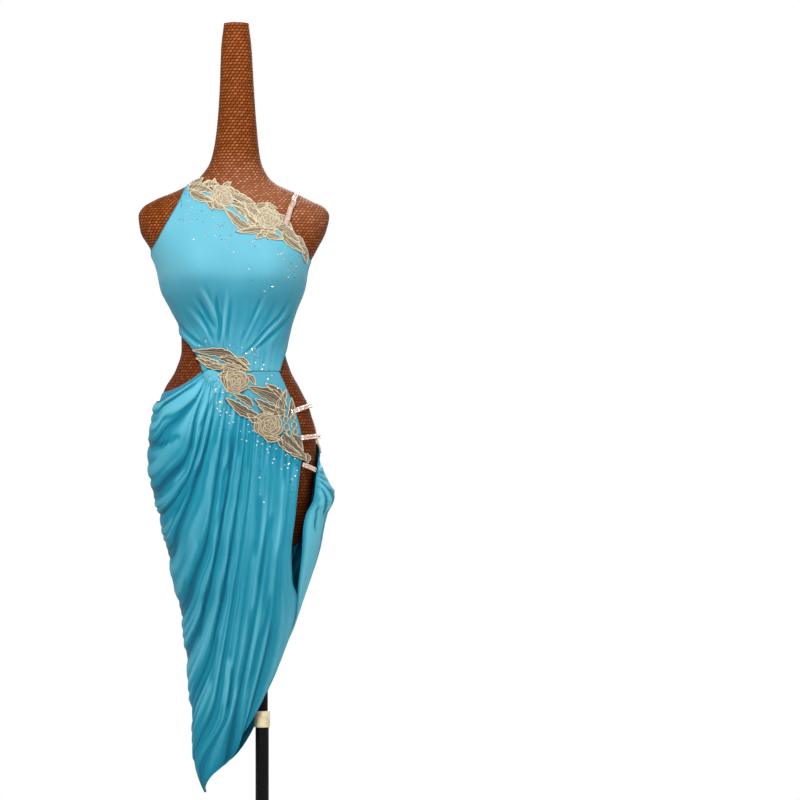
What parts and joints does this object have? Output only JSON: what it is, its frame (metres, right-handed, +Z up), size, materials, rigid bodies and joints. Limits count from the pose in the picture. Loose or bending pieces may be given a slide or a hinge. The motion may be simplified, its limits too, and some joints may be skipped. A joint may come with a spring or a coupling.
{
  "type": "salsa dance dress on a dress form stand",
  "caption": "One-shoulder Latin dance dress with a draped asymmetric skirt, lace bands and stone straps, on a limbless woven dress form with a pole stand.",
  "frame": {"origin": "on the floor under the middle of the form's shoulders and hips; the pole stands 58 mm to the wearer's left of it", "axes": "+Z up; the dress faces -Y; +X is the wearer's left"},
  "size_m": [0.444, 0.37, 1.735],
  "materials": {
    "black_steel": "satin",
    "beige_plastic": "matte",
    "rattan": "varnished woven rattan",
    "blue_cloth": "soft stretch jersey",
    "pale_cloth": "stretch lining",
    "gold_lace": "corded lace",
    "stone_strap": "stretch strap set with stones"
  },
  "bodies": {
    "stand": {"base_plate": "black_steel", "outer_tube": "black_steel", "collar": "beige_plastic"},
    "pole": {"inner_tube": "black_steel"},
    "figure": {"form": "rattan", "bodice_front": "blue_cloth", "hip_yoke_front": "blue_cloth", "hip_yoke_back": "pale_cloth", "skirt_front": "blue_cloth", "skirt_back": "blue_cloth", "lace_neckline": "gold_lace", "lace_waist": "gold_lace", "lace_hip_back": "gold_lace", "strap_shoulder_left": "stone_strap", "strap_shoulder_right": "stone_strap", "strap_side": "stone_strap", "hip_strap_1": "stone_strap", "hip_strap_2": "stone_strap", "hip_strap_3": "stone_strap"}
  },
  "joints": [
    {"name": "height_slide", "type": "slide", "parent": "stand", "child": "pole", "axis": [0, 0, 1], "range_m": [-0.06, 0.14]},
    {"name": "swivel", "type": "hinge", "parent": "pole", "child": "figure", "pos_m": [0.058, 0, 0.7], "axis": [0, 0, 1], "continuous": true}
  ]
}
